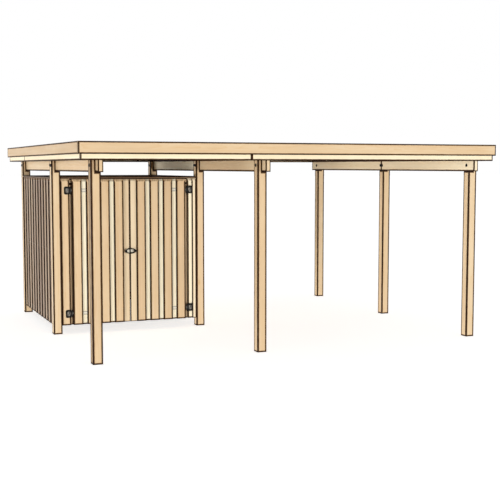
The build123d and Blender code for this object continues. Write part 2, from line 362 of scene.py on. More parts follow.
def planed_pine(bench, colours):
    """Pine with growth rings, fibres, knots and dark edges, which are weathering and also painted shade on
    the narrow board sides and beside the gaps.
    """
    grain = bench.attribute("grain", 1)
    arris = bench.attribute("arris", 2)
    tone = bench.attribute("tone", 2)

    def wood(along, across):
        """The place in the wood, scaled along and across its grain."""
        return bench.node("VectorMath", {0: grain, 1: (along, across, across)}, operation="MULTIPLY")

    warp = bench.noise(wood(0.9, 7.0), detail=3.0)
    across = bench.node("SeparateXYZ", {0: grain}, 1)
    deep = across.beside(2)
    radius = (across * across + deep * deep) ** 0.5 + warp * 0.05
    ring = bench.node("Math", {0: radius * 150.0}, operation="FRACT")
    late_wood = ring * ring * ring
    fibre = bench.noise(wood(25.0, 620.0))
    streak = bench.noise(wood(0.6, 26.0), detail=3.0)
    blotch = bench.noise(wood(1.6, 5.0))

    cell = bench.node("TexVoronoi", {"Vector": wood(3.6, 9.0), "Scale": 1.0})
    chance = bench.node("SeparateColor", {0: cell.beside(1)})
    rare = bench.step(chance, 0.90, 0.93)
    knot = (1.0 - bench.step(cell, 0.07, 0.125)) * rare
    knot_halo = (1.0 - bench.step(cell, 0.10, 0.30)) * rare

    stops = (
        (0.0, opaque(colours.pine_shade)),
        (0.5, opaque(colours.pine_beige)),
        (1.0, opaque(colours.pine_cream)),
    )
    plain = bench.node("ValToRGB", {0: tone * 0.5 + 0.5 + (blotch - 0.5) * 0.16}, stops=stops)
    warm = (0.90, 0.77, 0.60, 1.0)
    share = late_wood * 0.35 + (streak - 0.35) * 0.9 + (fibre - 0.5) * 0.5 + knot_halo * 0.5
    grained = bench.blend(share, plain, warm, "MULTIPLY")
    knotted = bench.blend(knot * 0.55, grained, (0.30, 0.14, 0.06, 1.0))
    scuffs = bench.noise(wood(14.0, 60.0))
    # Edge wear, and painted shade on the narrow board sides and beside the gaps
    wear_and_shade = arris + (scuffs - 0.5) * 0.2
    edge = bench.step(wear_and_shade, 0.10, 0.42)
    fringed = bench.blend(edge, knotted, opaque(colours.pine_fringe))
    colour = bench.blend(bench.step(wear_and_shade, 0.50, 0.82), fringed, opaque(colours.pine_edge))

    roughness = 0.74 + (streak - 0.5) * 0.2 - knot * 0.2 + edge * 0.12
    height = late_wood * 0.35 + fibre * 0.5 + knot * 0.5 + scuffs * 0.2
    bench.finish(colour, roughness, height, 0.0009, 0.5, {"Specular IOR Level": 0.08})


def gritted_sheet(bench, colours):
    """Roof sheet with mineral grit, pale flecks, dried puddle marks and black seams."""
    place = bench.place()
    grit = bench.noise(place, 420.0, 2.0, 0.7)
    stone = bench.node("TexVoronoi", {"Vector": place, "Scale": 260.0})
    stone_tone = bench.node("SeparateColor", {0: stone.beside(1)})
    puddle = bench.noise(place, 1.1, 4.0, 0.6)
    fleck = bench.step(stone_tone, 0.90, 0.97)
    dark = opaque(colours.roof_sheet)
    pale = opaque([min(1.0, 2.6 * share) for share in colours.roof_sheet])
    speckled = bench.blend((grit - 0.35) * 1.4, dark, pale)
    dusty = bench.blend(bench.step(puddle, 0.48, 0.62) * 0.35, speckled, (0.20, 0.18, 0.15, 1.0))
    flecked = bench.blend(fleck * 0.6, dusty, (0.36, 0.36, 0.35, 1.0))
    seam = bench.step(bench.attribute("arris", 2), 0.25, 0.70)
    colour = bench.blend(seam * 0.85, flecked, (0.012, 0.012, 0.012, 1.0))
    roughness = 0.86 + (grit - 0.5) * 0.2
    bench.finish(colour, roughness, grit + stone, 0.0015, 0.7, {"Specular IOR Level": 0.3})


def black_iron(bench, colours):
    """Forged iron in half-matt black, greyer on its flat faces and black along its edges."""
    place = bench.place()
    arris = bench.attribute("arris", 2)
    hammer = bench.noise(place, 90.0, 2.0, 0.5)
    dust = bench.noise(place, 24.0, 4.0, 0.6)
    flat_share = (1.0 - bench.step(arris, 0.0, 0.45)) * (0.6 + dust * 0.4)
    colour = bench.blend(flat_share, opaque(colours.black_iron), (0.50, 0.46, 0.40, 1.0))
    roughness = 0.55 + dust * 0.25
    bench.finish(colour, roughness, hammer, 0.0008, 0.4, {"Specular IOR Level": 0.10})


def zinc_iron(bench, colours):
    """Zinc-plated iron, bright in the middle and dark along its edges."""
    place = bench.place()
    arris = bench.attribute("arris", 2)
    spangle = bench.node("TexVoronoi", {"Vector": place, "Scale": 320.0})
    dust = bench.noise(place, 30.0, 3.0, 0.6)
    bright = opaque(colours.zinc)
    dull = opaque([0.72 * share for share in colours.zinc])
    plated = bench.blend(dust, bright, dull)
    colour = bench.blend(bench.step(arris, 0.2, 0.8), plated, opaque(colours.black_iron))
    roughness = 0.48 + spangle * 0.25
    bench.finish(colour, roughness, spangle + dust, 0.0003, 0.3, {"Metallic": 0.15})


FINISHES = {make.__name__: make for make in (planed_pine, gritted_sheet, black_iron, zinc_iron)}


def finish_of(name):
    """The material of that name, made when it is first asked for."""
    if name not in bpy.data.materials:
        FINISHES[name](new_finish(name)[1], bpy.context.scene.carport_colours)
    return bpy.data.materials[name]


class Workpiece:
    """One mesh that timbers and fittings are added to."""

    def __init__(self, name):
        self.name = name
        self.chance = random.Random(name)
        self.mesh = bmesh.new()
        self.add_layers(self.mesh)

    @staticmethod
    def add_layers(mesh):
        """Values that the finishes read: place along the grain, edge share and tone."""
        for name in ("arris", "tone"):
            mesh.verts.layers.float.new(name)
        mesh.verts.layers.float_vector.new("grain")
        layers = mesh.verts.layers
        return layers.float_vector["grain"], layers.float["arris"], layers.float["tone"]

    def take(self, part):
        """Moves a finished small mesh into this piece."""
        passing = bpy.data.meshes.new("passing")
        part.to_mesh(passing)
        part.free()
        self.mesh.from_mesh(passing)
        bpy.data.meshes.remove(passing)

    def dress_timber(
            self, part, along, tone, band=None, damp_top=0.0, dark_top=0.0, drip_edge=0.0, shaded_left=0.0):
        """Rounds the arrises of a raw timber and gives it its grain, dark parts and tone, with painted shade
        and painted shadow where asked.
        """
        sizes = bpy.context.scene.carport_timber
        band = sizes.arris_band if band is None else band
        grain, arris, shade = self.add_layers(part)
        corners = [v.co for v in part.verts]
        middle = [(min(c[i] for c in corners) + max(c[i] for c in corners)) / 2 for i in range(3)]
        low_level, high_level = min(c.z for c in corners), max(c.z for c in corners)
        flats = round_edges(part, sizes.arris_round, 2)
        # Faces no wider than plain_edge, the sides of the boards among them, stay dark all over as painted
        # shade
        inner = inset_flats(part, flats, band, sizes.plain_edge)
        start = self.chance.uniform(0.0, 60.0)
        angle = self.chance.uniform(0.0, 2.0 * math.pi)
        heart = self.chance.uniform(0.03, 0.11)
        heart_place = (heart * math.cos(angle), heart * math.sin(angle))
        others = [i for i in range(3) if i != along]
        own_tone = TONES[tone] + self.chance.uniform(-0.10, 0.10)
        for vert in part.verts:
            across = [vert.co[i] - middle[i] + heart_place[n] for n, i in enumerate(others)]
            vert[grain] = (vert.co[along] + start, *across)
            vert[arris] = 0.0 if vert in inner else 1.0
            vert[shade] = own_tone
        # Painted shade: the faces on the left side are darkened like the edges
        if shaded_left:
            for vert in {vert for face in part.faces if face.normal.x < -0.9 for vert in face.verts}:
                vert[arris] = max(vert[arris], shaded_left)
        # Painted shadow of the cap over the top end
        if damp_top:
            stain(part, high_level - damp_top, 1, arris, CAP_SHADOW_SHARE)
        if dark_top:
            stain(part, high_level - dark_top, 1, arris, 1.0)
        # Painted shade along the bottom end
        if drip_edge:
            stain(part, low_level + drip_edge, -1, arris, 1.0)
        self.take(part)

    def timber(self, low, high, along, tone, **dressing):
        """A straight timber between two corners."""
        self.dress_timber(raw_block(low, high), along, tone, **dressing)

    def plate(self, low, high, corner, corners_along, round_by=0.0008, band=0.010):
        """A flat plate or sheet, with rounded corners on the edges that run along one axis."""
        part = raw_block(low, high)
        self.add_layers(part)
        upright = [edge for edge in part.edges if runs_along(edge, corners_along)]
        if corner > 0:
            bevel(part, upright, corner, 5)
        flats = round_edges(part, round_by, 1)
        wide = [face for face in flats if narrow_side(face) > 2.4 * band]
        bmesh.ops.inset_individual(part, faces=wide, thickness=band, use_even_offset=True)
        self.mark_edges(part, {vert for face in wide for vert in face.verts})

    def rod(self, centre, axis, radius, length, sides=24, end_round=0.0008, arris=1.0):
        """A round or many-sided rod along one axis."""
        part = bmesh.new()
        self.add_layers(part)
        bmesh.ops.create_cone(
            part, cap_ends=True, segments=sides, radius1=radius, radius2=radius, depth=length)
        ends = [face for face in part.faces if abs(face.normal.z) > 0.9]
        rims = {edge for face in ends for edge in face.edges}
        bevel(part, list(rims), end_round, 2)
        if sides > 8:
            for face in part.faces:
                face.smooth = abs(face.normal.z) < 0.9
        turn = {X: Matrix.Rotation(math.pi / 2, 4, "Y"), Y: Matrix.Rotation(math.pi / 2, 4, "X"), Z: Matrix()}
        bmesh.ops.transform(part, matrix=Matrix.Translation(centre) @ turn[axis], verts=part.verts)
        self.mark_edges(part, set(), arris)

    def mark_edges(self, part, inner, arris=1.0):
        """Marks the edges of a plate, sheet or rod and takes it."""
        edge_share = part.verts.layers.float["arris"]
        for vert in part.verts:
            vert[edge_share] = 0.0 if vert in inner else arris
        self.take(part)

    def mirrored(self, middle_x):
        """Turns the piece over to the other side of the doorway."""
        flip = Matrix.Translation((2 * middle_x, 0, 0)) @ Matrix.Diagonal((-1, 1, 1, 1))
        bmesh.ops.transform(self.mesh, matrix=flip, verts=self.mesh.verts)
        bmesh.ops.reverse_faces(self.mesh, faces=self.mesh.faces)

    def place(self, material_slot, nodes=(), body="carport", finish="planed_pine"):
        """Makes the finished object, rides it on its body and hides what it stands for."""
        data = bpy.data.meshes.new(self.name)
        self.mesh.to_mesh(data)
        self.mesh.free()
        data.materials.append(finish_of(finish))
        piece = add_object(self.name, data)
        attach(piece, body)
        if nodes:
            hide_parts(*nodes)
        return piece


def bevel(part, edges, radius, segments, **more):
    """Rounds some edges of a mesh."""
    return bmesh.ops.bevel(
        part, geom=edges, offset=radius, offset_type="OFFSET", segments=segments, profile=0.5, affect="EDGES",
        material=-1, **more)


def split(part, place, normal, **more):
    """Cuts a mesh along a plane."""
    everything = part.verts[:] + part.edges[:] + part.faces[:]
    bmesh.ops.bisect_plane(part, geom=everything, plane_co=place, plane_no=normal, **more)


def raise_faces(part, faces, height):
    """Draws faces up, with new sides below them."""
    raised = bmesh.ops.extrude_face_region(part, geom=faces)
    top = [item for item in raised["geom"] if isinstance(item, bmesh.types.BMVert)]
    bmesh.ops.translate(part, vec=(0, 0, height), verts=top)


def inset_flats(part, flats, band, least_width):
    """Insets the flat faces that are wide enough and returns their inner corners."""
    inner = set()
    for face in flats:
        width = narrow_side(face)
        if width > least_width:
            thickness = min(band, width / 4)
            bmesh.ops.inset_individual(part, faces=[face], thickness=thickness, use_even_offset=True)
            inner.update(face.verts)
    return inner


def raw_block(low, high):
    """A sharp block between two corners."""
    part = bmesh.new()
    low, high = Vector(low), Vector(high)
    place = Matrix.Translation((low + high) / 2) @ Matrix.Diagonal((*(high - low), 1.0))
    bmesh.ops.create_cube(part, size=1.0, matrix=place)
    return part


def stain(part, level, side, layer, value):
    """Cuts a timber at a level and sets one value above it (side 1) or below it (side -1)."""
    split(part, (0, 0, level), (0, 0, 1))
    for vert in part.verts:
        if (vert.co.z - level) * side > 0.0005:
            vert[layer] = value


def runs_along(edge, axis):
    """True for an edge that lies along one axis."""
    run = edge.verts[1].co - edge.verts[0].co
    return abs(run[axis]) > 0.99 * run.length


def narrow_side(face):
    """Width of a face across its narrower way."""
    spans = []
    for i in range(3):
        places = [vert.co[i] for vert in face.verts]
        spans.append(max(places) - min(places))
    return sorted(spans)[1]


def round_edges(part, radius, segments):
    """Rounds the sharp edges and returns the flat faces that are left."""
    sharp = [edge for edge in part.edges if len(edge.link_faces) == 2 and edge.calc_face_angle() > 0.5]
    rounds = set(bevel(part, sharp, radius, segments, clamp_overlap=True)["faces"])
    for face in rounds:
        face.smooth = segments > 1
    return [face for face in part.faces if face not in rounds]


def single_timber(node, ending, along, tone, material_slot, **dressing):
    """A piece that is one straight timber as large as its node."""
    piece = Workpiece(node + ending)
    piece.timber(*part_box(node), along, tone, **dressing)
    piece.place(material_slot, [node])


def notched_post(piece, node, beam_node, shaded_left):
    """A square post whose top is cut back to a tongue beside the beam."""
    low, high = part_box(node)
    beam_low, beam_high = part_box(beam_node)
    seat = beam_low.z
    beam_on_right = beam_high.x > (low.x + high.x) / 2 + 0.01
    cheek = beam_low.x if beam_on_right else beam_high.x
    part = raw_block(low, (high.x, high.y, seat))
    split(part, (cheek, 0, 0), (1, 0, 0))
    tongue_side = -1 if beam_on_right else 1
    shoulder = [
        face for face in part.faces
        if face.normal.z > 0.9 and (face.calc_center_median().x - cheek) * tongue_side > 0]
    raise_faces(part, shoulder, high.z - seat)
    bmesh.ops.delete(part, geom=shoulder, context="FACES")
    bmesh.ops.dissolve_limit(part, angle_limit=0.02, verts=part.verts, edges=part.edges)
    piece.dress_timber(part, Z, "post", shaded_left=shaded_left)


def board_starts(length, board, gap):
    """Where each outer board of a wall starts, so that they fill the length evenly."""
    count = max(2, round((length + gap) / (board + gap)))
    pitch = (length - board) / (count - 1)
    return [number * pitch for number in range(count)]


class WallSide:
    """Turns places along and across a wall or door into corners of its boards."""

    def __init__(self, along, start, out_face, outward):
        self.along = along
        self.start = start
        self.out_face = out_face
        self.outward = outward

    def corners(self, run, depth, height):
        """Two corners from ranges along the wall, inwards from its outer face, and up."""
        low, high = [0.0, 0.0, height[0]], [0.0, 0.0, height[1]]
        ends = sorted(self.out_face - self.outward * step for step in depth)
        low[self.along], high[self.along] = self.start + run[0], self.start + run[1]
        low[1 - self.along], high[1 - self.along] = ends
        return low, high


def board_layers(piece, side, starts, height, outer_tone, inner_tone):
    """Outer boards with gaps, and behind each gap an inner board, for a wall or door."""
    sizes = bpy.context.scene.carport_timber
    thick, board = sizes.wall_board_thickness, sizes.wall_board
    for start in starts:
        outer = side.corners((start, start + board), (0, thick), height)
        # The top ends of the boards get the cap's painted shadow
        piece.timber(*outer, Z, outer_tone, damp_top=sizes.damp_top)
    for first, second in zip(starts, starts[1:]):
        middle = (first + board + second) / 2
        run = (middle - board / 2, middle + board / 2)
        inner = side.corners(run, (thick, 2 * thick), height)
        piece.timber(*inner, Z, inner_tone, damp_top=sizes.damp_top)


def shed_wall(node, along, outward, outer_tone, inner_tone):
    """One wall of the shed: two layers of boards, three rails and a cap."""
    sizes = bpy.context.scene.carport_timber
    low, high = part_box(node)
    across = 1 - along
    cap_face = high[across] if outward > 0 else low[across]
    rail_back = low[across] if outward > 0 else high[across]
    side = WallSide(along, low[along], cap_face - outward * sizes.cap_overhang, outward)
    length = high[along] - low[along]
    cap_bottom = high.z - sizes.cap_thickness
    depth = abs(side.out_face - rail_back)
    layers = 2 * sizes.wall_board_thickness
    piece = Workpiece(node + "_boards")
    starts = board_starts(length, sizes.wall_board, sizes.wall_board_gap)
    board_layers(piece, side, starts, (low.z, cap_bottom), outer_tone, inner_tone)
    rail_bottom = low.z + sizes.rail_foot
    rail_top = cap_bottom - sizes.rail_height
    rail_levels = (rail_bottom, (rail_bottom + rail_top) / 2, rail_top)
    for level in rail_levels:
        ends = side.corners((0, length), (layers, depth), (level, level + sizes.rail_height))
        piece.timber(*ends, along, "rail")
    cap = side.corners((0, length), (-sizes.cap_overhang, depth), (cap_bottom, high.z))
    piece.timber(*cap, along, "cap", dark_top=sizes.cap_weathering)
    piece.place("shed_boards", [node])
    heights = [level + sizes.rail_height / 2 for level in rail_levels]
    board_screws(node, side, starts, heights).place("ironwork", finish="zinc_iron")


def board_screws(node, side, starts, heights):
    """The flat heads of two screws in each outer board at each height."""
    board = bpy.context.scene.carport_timber.wall_board
    radius = bpy.context.scene.carport_fittings.screw_radius
    piece = Workpiece(node + "_screws")
    for start in starts:
        for height in heights:
            for offset in (SCREW_INSET, board - SCREW_INSET):
                spot = side.corners((start + offset,) * 2, (0, 0), (height,) * 2)[0]
                piece.rod(spot, 1 - side.along, radius, SCREW_HEAD, sides=8, end_round=0.0004, arris=0.3)
    return piece


class CARPORT_OT_posts(bpy.types.Operator):
    """Nine square posts, each notched at the top for its beam"""
    bl_idname = "carport.posts"
    bl_label = "Posts"

    def execute(self, context):
        for row in ROWS:
            for name in FRAMES:
                node = f"post_{row}_{name}"
                beam = f"beam_{name}_{'back' if row == 'back' else 'front'}"
                piece = Workpiece(node + "_timber")
                # The front left post gets painted shade on its left side
                shaded_left = POST_SIDE_SHADE if node == "post_front_left" else 0.0
                notched_post(piece, node, beam, shaded_left)
                piece.place("frame_timber", [node])
        return {"FINISHED"}


class CARPORT_OT_beams(bpy.types.Operator):
    """Six beam lengths in the notches of the posts"""
    bl_idname = "carport.beams"
    bl_label = "Beams"

    def execute(self, context):
        for name in FRAMES:
            for half in ("front", "back"):
                node = f"beam_{name}_{half}"
                # Beams under the roof take paler tones, painted light against the roof's shade
                tone = node if node in TONES else "beam_" + name
                single_timber(node, "_timber", Y, tone, "frame_timber")
        return {"FINISHED"}


class CARPORT_OT_rafters(bpy.types.Operator):
    """Seven rafters across the beams"""
    bl_idname = "carport.rafters"
    bl_label = "Rafters"

    def execute(self, context):
        for node in sorted(name for name in frame["nodes"] if name.startswith("rafter_")):
            # The rafters take a darker tone, painted shade under the roof
            single_timber(node, "_timber", X, "roof_timber", "roof_timber")
        return {"FINISHED"}


class CARPORT_OT_roof_deck(bpy.types.Operator):
    """Deck boards from front to back on the rafters"""
    bl_idname = "carport.roof_deck"
    bl_label = "Roof Deck"

    def execute(self, context):
        low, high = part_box("roof_deck")
        count = round((high.x - low.x) / context.scene.carport_timber.deck_board)
        pitch = (high.x - low.x) / count
        piece = Workpiece("roof_deck_boards")
        for number in range(count):
            left = low.x + number * pitch
            ends = (left, low.y, low.z), (left + pitch, high.y, high.z)
            # The deck boards take the darker roof timber tone, painted shade under the roof
            piece.timber(*ends, Y, "roof_timber", band=DECK_BAND)
        piece.place("roof_timber", ["roof_deck"])
        return {"FINISHED"}


class CARPORT_OT_roof_sheets(bpy.types.Operator):
    """Lapped roof sheets with a bead against the fascia"""
    bl_idname = "carport.roof_sheets"
    bl_label = "Roof Sheets"

    def execute(self, context):
        fittings = context.scene.carport_fittings
        low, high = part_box("roof_covering")
        piece = Workpiece("roof_covering_sheets")
        pitch = (high.y - low.y) / fittings.sheet_count
        for number in range(fittings.sheet_count):
            front = low.y + number * pitch
            piece.plate((low.x, front, low.z), (high.x, front + pitch, high.z), 0, Z, 0.0004)
            if number:
                lap_low = (low.x, front - fittings.sheet_lap / 2, high.z - LAP_BED)
                lap_high = (high.x, front + fittings.sheet_lap / 2, high.z + LAP_THICKNESS)
                piece.plate(lap_low, lap_high, 0, Z, 0.001, band=fittings.sheet_seam)
        bead_top = high.z + BEAD_HEIGHT
        for front, back in ((low.y, low.y + BEAD_WIDTH), (high.y - BEAD_WIDTH, high.y)):
            piece.plate((low.x, front, high.z), (high.x, back, bead_top), 0, Z, 0.003)
        for left, right in ((low.x, low.x + BEAD_WIDTH), (high.x - BEAD_WIDTH, high.x)):
            piece.plate((left, low.y, high.z), (right, high.y, bead_top), 0, Z, 0.003)
        piece.place("roof_covering", ["roof_covering"], finish="gritted_sheet")
        return {"FINISHED"}


class CARPORT_OT_fascias(bpy.types.Operator):
    """Outer and lower fascia boards round the roof"""
    bl_idname = "carport.fascias"
    bl_label = "Fascias"

    def execute(self, context):
        sizes = context.scene.carport_timber
        band = sizes.fascia_band
        for place in ("front", "back", "left", "right"):
            along = X if place in ("front", "back") else Y
            node = f"outer_fascia_{place}"
            # The left outer fascia takes a darker tone, painted shade that offsets the left lamp
            tone = node if node in TONES else "outer_fascia"
            single_timber(node, "_board", along, tone, "fascia_boards", band=band)
            node = f"inner_fascia_{place}"
            inner = Workpiece(node + "_boards")
            low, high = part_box(node)
            joint = sizes.fascia_joint if along == X else sizes.side_fascia_joint
            first_high, second_low = high.copy(), low.copy()
            first_high[along] = second_low[along] = joint
            for ends in ((low, first_high), (second_low, high)):
                # Painted shade along the bottom of each lower fascia, whose paler tone is partly painted
                # light
                inner.timber(*ends, along, "inner_fascia", band=band, drip_edge=sizes.drip_edge)
            inner.place("fascia_boards", [node])
        return {"FINISHED"}


class CARPORT_OT_shed_walls(bpy.types.Operator):
    """The left, right and back walls of the shed"""
    bl_idname = "carport.shed_walls"
    bl_label = "Shed Walls"

    def execute(self, context):
        # The left wall's boards take the darker left_wall tone, painted shade on the side wall
        shed_wall("shed_left_wall", Y, -1, "left_wall", "left_wall")
        shed_wall("shed_right_wall", Y, 1, "outer_board", "inner_board")
        shed_wall("shed_back_wall", X, 1, "outer_board", "inner_board")
        return {"FINISHED"}


class CARPORT_OT_doorway(bpy.types.Operator):
    """The door head with its cap, and the jambs with their fixed strips"""
    bl_idname = "carport.doorway"
    bl_label = "Doorway"

    def execute(self, context):
        sizes = context.scene.carport_timber
        # The top ends of the fixed strips get the cap's painted shadow
        cap_shadowing = {"damp_top": sizes.damp_top}
        low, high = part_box("door_head")
        cap_bottom = high.z - sizes.cap_thickness
        front = low.y + sizes.cap_overhang
        under = front + sizes.wall_board_thickness
        stud_front = front + 2 * sizes.wall_board_thickness + sizes.stud_clearance
        head = Workpiece("door_head_timbers")
        head.timber((low.x, stud_front, low.z), (high.x, high.y, cap_bottom), X, "stud")
        head.timber((low.x, low.y, cap_bottom), high, X, "cap", dark_top=sizes.cap_weathering)
        head.place("shed_boards", ["door_head"])

        def jamb(side_name):
            """A new jamb with its two studs, and the jamb's corners."""
            piece = Workpiece(f"door_jamb_{side_name}_boards")
            jamb_low, jamb_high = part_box(f"door_jamb_{side_name}")
            middle = (jamb_low.x + jamb_high.x) / 2
            for left, right in ((jamb_low.x, middle), (middle, jamb_high.x)):
                ends = (left, stud_front, jamb_low.z), (right, jamb_high.y, low.z)
                piece.timber(*ends, Z, "stud")
            return piece, jamb_low, jamb_high

        left, jamb_low, jamb_high = jamb("left")
        strip_end = jamb_low.x + sizes.strip_board
        left.timber(jamb_low, (strip_end, under, cap_bottom), Z, "left_strip", **cap_shadowing)
        ends = (jamb_low.x, under, jamb_low.z), (strip_end, stud_front, cap_bottom)
        left.timber(*ends, Z, "left_under_strip")
        left.place("shed_boards", ["door_jamb_left"])

        right, jamb_low, jamb_high = jamb("right")
        strip_end = jamb_high.x - sizes.strip_board
        board_end = jamb_high.x - sizes.narrow_board
        ends = (strip_end, under, jamb_low.z), (jamb_high.x, stud_front, cap_bottom)
        right.timber(*ends, Z, "right_strip", **cap_shadowing)
        ends = (board_end, front, jamb_low.z), (jamb_high.x, under, cap_bottom)
        right.timber(*ends, Z, "right_narrow_board", **cap_shadowing)
        plates_low, plates_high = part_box("hinge_plates_right")
        height = context.scene.carport_fittings.plate_height
        for bottom in (plates_low.z, plates_high.z - height):
            pad = (strip_end, front, bottom), (board_end, under, bottom + height)
            right.timber(*pad, Z, "hinge_pad")
        right.place("shed_boards", ["door_jamb_right"])
        return {"FINISHED"}


def doorway_middle():
    """Where the two doors meet, from side to side."""
    return (HINGES["left_door_hinge"].x + HINGES["right_door_hinge"].x) / 2


def mirror_right(side_name, *pieces):
    """Turns the pieces, made for the left door, over to the right one where they are for it."""
    if side_name == "right":
        for piece in pieces:
            piece.mirrored(doorway_middle())


class CARPORT_OT_doors(bpy.types.Operator):
    """Two ledged and braced doors in two layers of boards"""
    bl_idname = "carport.doors"
    bl_label = "Doors"

    def door(self, side_name, context):
        sizes = context.scene.carport_timber
        fittings = context.scene.carport_fittings
        low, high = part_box("door_left")
        under_front = low.y + sizes.wall_board_thickness
        under_back = low.y + 2 * sizes.wall_board_thickness
        piece = Workpiece(f"door_{side_name}_boards")
        side = WallSide(X, 0.0, low.y, -1)
        outer_end = high.x - MEETING_REBATE
        pitch = (outer_end - sizes.wall_board - low.x) / (DOOR_BOARDS - 1)
        starts = [low.x + number * pitch for number in range(DOOR_BOARDS)]
        board_layers(piece, side, starts, (low.z, high.z), "door_board", "door_inner_board")
        ends = (outer_end - MEETING_LAP, under_front, low.z), (high.x, under_back, high.z)
        # Its top end gets the cap's painted shadow
        piece.timber(*ends, Z, "meeting_board", band=MEETING_BAND, damp_top=sizes.damp_top)
        plates_low, plates_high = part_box("hinge_plates_left")
        ledge_half = fittings.ledge_height / 2
        low_level = plates_low.z + fittings.plate_height / 2
        high_level = plates_high.z - fittings.plate_height / 2
        levels = (low_level, (low_level + high_level) / 2, high_level)
        left, right = low.x + LEDGE_OUTER_GAP, high.x - LEDGE_INNER_GAP
        for level in levels:
            ends = (left, under_back, level - ledge_half), (right, high.y, level + ledge_half)
            piece.timber(*ends, X, "ledge")
        for bottom_level, top_level in zip(levels, levels[1:]):
            brace = raw_block(
                (left, under_back, bottom_level + ledge_half),
                (left + fittings.brace_width, high.y, top_level - ledge_half))
            top = [vert for vert in brace.verts if vert.co.z > (bottom_level + top_level) / 2]
            bmesh.ops.translate(brace, vec=(right - left - fittings.brace_width, 0, 0), verts=top)
            piece.dress_timber(brace, Z, "ledge")
        heights = [level + LEDGE_SCREW_RISE for level in levels]
        screws = board_screws(f"door_{side_name}", side, starts, heights)
        mirror_right(side_name, piece, screws)
        body = f"{side_name}_door"
        piece.place("shed_boards", [f"door_{side_name}"], body)
        screws.place("ironwork", (), body, "zinc_iron")

    def execute(self, context):
        for side_name in ("left", "right"):
            self.door(side_name, context)
        return {"FINISHED"}


class CARPORT_OT_hinges(bpy.types.Operator):
    """Hinge plates on the fixed strips and straps under the outer boards of the doors"""
    bl_idname = "carport.hinges"
    bl_label = "Hinges"

    def hinge_pair(self, side_name, context):
        fittings = context.scene.carport_fittings
        axis = HINGES["left_door_hinge"]
        low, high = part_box("hinge_plates_left")
        strap_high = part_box("hinge_straps_left")[1]
        thick, radius = fittings.plate_thickness, fittings.knuckle_radius
        half = fittings.plate_height / 2
        knuckle = (fittings.plate_height - 2 * KNUCKLE_GAP) / 3
        strap_half = fittings.strap_height / 2
        seat = strap_high.y
        leaf_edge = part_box("door_left")[0].x
        plates = Workpiece(f"hinge_plates_{side_name}_iron")
        straps = Workpiece(f"hinge_straps_{side_name}_iron")
        for level in (low.z + half, high.z - half):
            plate_low = (low.x, axis.y - thick / 2, level - half)
            plate_high = (axis.x - radius / 2, axis.y + thick / 2, level + half)
            plates.plate(plate_low, plate_high, PLATE_CORNER, Y, band=PLATE_BAND)
            for side in (-1, 1):
                plates.rod((axis.x, axis.y, level + side * (half - knuckle / 2)), Z, radius, knuckle)
                for bolt_x in (low.x + PLATE_BOLT_OUTER_INSET, axis.x - PLATE_BOLT_INNER_INSET):
                    spot = (bolt_x, axis.y - thick / 2 - 0.001, level + side * PLATE_BOLT_RISE)
                    plates.rod(spot, Y, PLATE_BOLT_RADIUS, PLATE_BOLT_HEAD, sides=12, end_round=0.0018)
            plates.rod((axis.x, axis.y, level), Z, PIN_RADIUS, 2 * half - 0.001, sides=16)
            straps.rod((axis.x, axis.y, level), Z, radius, knuckle)
            neck = axis.x + radius - thick
            low_level, high_level = level - knuckle / 2, level + knuckle / 2
            ends = (neck, axis.y, low_level), (axis.x + radius, seat, high_level)
            straps.plate(*ends, 0, Y, band=STRAP_NECK_BAND)
            ends = (neck, seat - thick, low_level), (leaf_edge, seat, high_level)
            straps.plate(*ends, 0, Y, band=STRAP_NECK_BAND)
            ends = (leaf_edge, seat - thick, level - strap_half), (strap_high.x, seat, level + strap_half)
            straps.plate(*ends, STRAP_CORNER, Y, band=STRAP_BAND)
        mirror_right(side_name, plates, straps)
        plates.place("ironwork", [f"hinge_plates_{side_name}"], finish="black_iron")
        straps.place("ironwork", [f"hinge_straps_{side_name}"], f"{side_name}_door", "zinc_iron")

    def execute(self, context):
        for side_name in ("left", "right"):
            self.hinge_pair(side_name, context)
        return {"FINISHED"}


